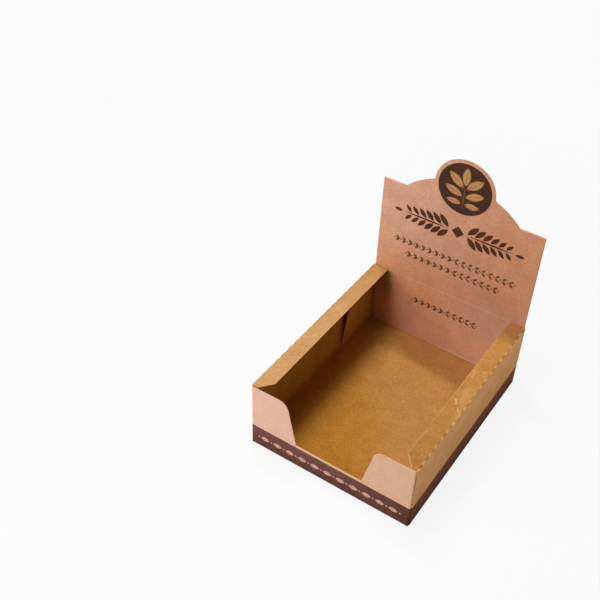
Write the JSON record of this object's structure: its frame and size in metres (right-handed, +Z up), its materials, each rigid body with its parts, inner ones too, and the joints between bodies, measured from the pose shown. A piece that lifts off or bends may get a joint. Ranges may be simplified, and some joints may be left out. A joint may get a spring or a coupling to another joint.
{
  "type": "counter display box",
  "caption": "Open-front counter display carton folded from printed kraft board, with hinged dust flaps and a double-folded upright header with an arched crest.",
  "frame": {"origin": "on the floor, under the middle of the tray", "axes": "+Z up, front of the tray towards -Y, +X to the right as seen from the front"},
  "size_m": [0.16, 0.205, 0.2185],
  "materials": {
    "kraft_board": "uncoated kraft folding board, printed in brown and pink-tan on the outside"
  },
  "bodies": {
    "carton": {"folded_carton": "kraft_board"},
    "left_flap": {"left_dust_flap": "kraft_board"},
    "right_flap": {"right_dust_flap": "kraft_board"}
  },
  "joints": [
    {"name": "left_flap_hinge", "type": "hinge", "parent": "carton", "child": "left_flap", "pos_m": [-0.0797, 0, 0.0702], "axis": [0, -1, 0], "range_deg": [0, 180]},
    {"name": "right_flap_hinge", "type": "hinge", "parent": "carton", "child": "right_flap", "pos_m": [0.0797, 0, 0.0702], "axis": [0, 1, 0], "range_deg": [0, 180]}
  ]
}
